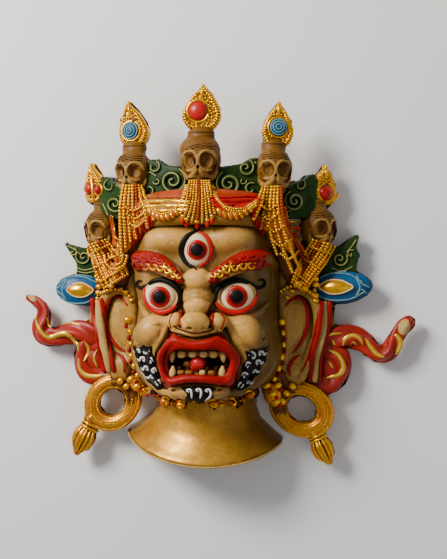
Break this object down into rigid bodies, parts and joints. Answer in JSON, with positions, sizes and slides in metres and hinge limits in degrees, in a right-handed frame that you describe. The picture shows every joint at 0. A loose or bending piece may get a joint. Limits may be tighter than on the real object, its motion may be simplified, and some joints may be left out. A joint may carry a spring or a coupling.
{
  "type": "mask",
  "caption": "Painted wall mask of a wrathful three-eyed guardian with a crown of skulls, ringed ears, flying scarves and a flared neck; hollow back.",
  "frame": {"origin": "middle of the underside of the bounding box, on the plane of the mask's open back", "axes": "+Z is the way the face looks when the mask lies on its back, +Y towards the crown, +X towards the viewer's right"},
  "size_m": [0.345, 0.3236, 0.1112],
  "materials": {
    "painted_resin": "hand painted, satin, gold over red-brown on the ornaments"
  },
  "bodies": {
    "root": {"mask": "painted_resin"}
  },
  "joints": []
}
